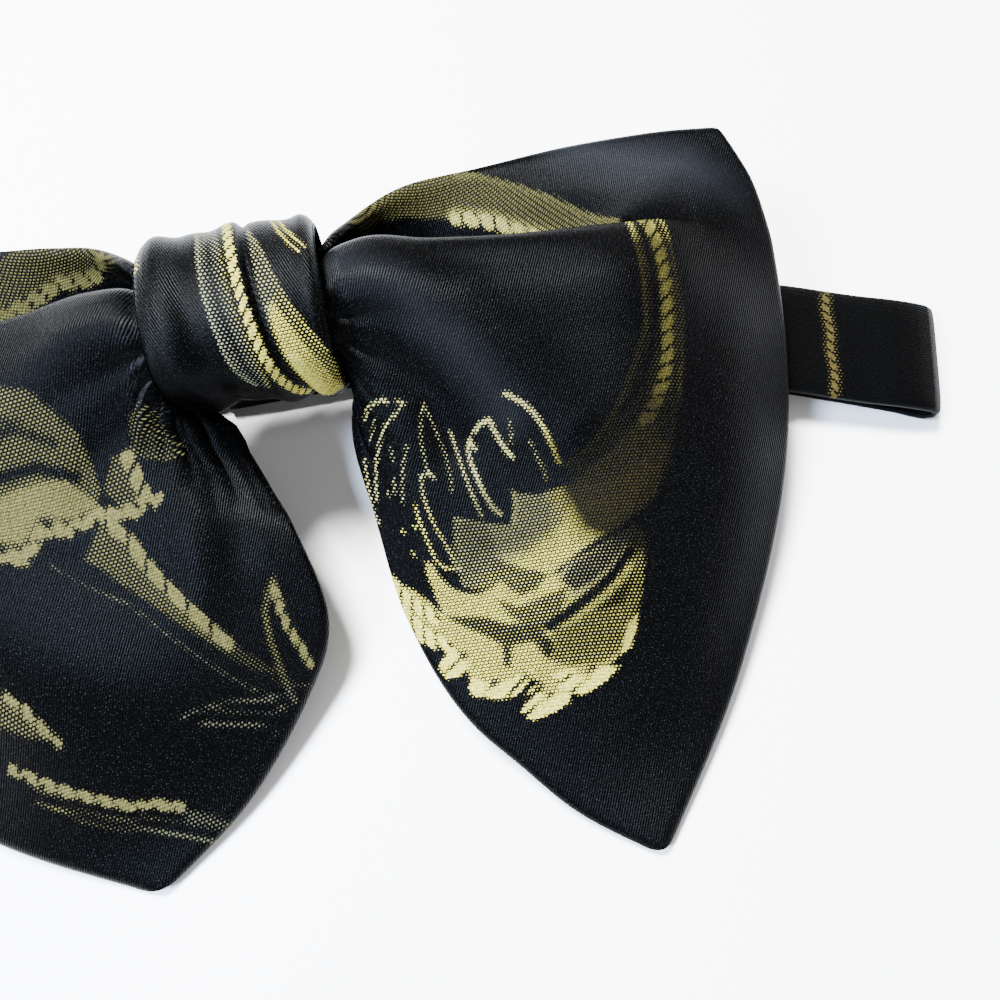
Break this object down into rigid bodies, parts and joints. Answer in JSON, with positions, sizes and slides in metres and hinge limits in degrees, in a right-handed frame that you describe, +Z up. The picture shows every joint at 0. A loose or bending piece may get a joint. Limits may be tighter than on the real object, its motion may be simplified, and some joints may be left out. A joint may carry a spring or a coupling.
{
  "type": "bow tie",
  "caption": "Oversized butterfly bow tie in patterned cloth with drooping pointed wings, a wrapped knot and a closed neck band, lying face up.",
  "frame": {"origin": "middle of the bounding box in X and Y, on the surface that the bow tie lies on", "axes": "+X along the bow to the wearer's left wing as seen from the front, +Y toward the wings' top edges, +Z up from the surface"},
  "size_m": [0.2126, 0.1024, 0.0398],
  "materials": {
    "figured_satin": "black woven satin with a raised pale gold flower and leaf figure",
    "band_cloth": "black satin with broken gold stripes across it",
    "clasp_finish": null
  },
  "bodies": {
    "root": {"bow_wings": "figured_satin", "knot_band": "figured_satin", "neck_band": "band_cloth", "band_clasp": "clasp_finish"}
  },
  "joints": []
}
